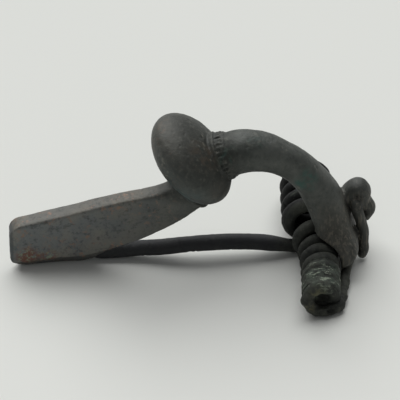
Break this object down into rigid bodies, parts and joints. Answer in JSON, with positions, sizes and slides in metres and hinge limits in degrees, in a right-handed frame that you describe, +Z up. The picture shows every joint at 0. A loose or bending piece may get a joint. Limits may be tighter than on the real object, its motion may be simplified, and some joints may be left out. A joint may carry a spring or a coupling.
{
  "type": "fibula_brooch",
  "caption": "Ancient bronze bow brooch with a large round knob, notched collar, trumpet-like head, coiled spring with its chord under a hook, and a pin lying in a catch on the flat foot",
  "frame": {"origin": "on the table, under the middle of the brooch's box", "axes": "+X from the foot to the head, +Z up, and the pin's catch opens towards +Y"},
  "size_m": [0.0576, 0.0312, 0.027],
  "materials": {
    "bow_bronze": "dark patina with green patches",
    "spring_bronze": "dark patina with pale green crust",
    "pin_bronze": "smooth black patina"
  },
  "bodies": {
    "brooch": {"bow": "bow_bronze", "spring": "spring_bronze"},
    "pin": {"pin": "pin_bronze"}
  },
  "joints": [
    {"name": "pin_swing", "type": "hinge", "parent": "brooch", "child": "pin", "pos_m": [0.01891, 0.00092, 0.00105], "axis": [0, 0, -1], "range_deg": [0, 6], "stiffness_Nm_per_rad": 0.01}
  ]
}
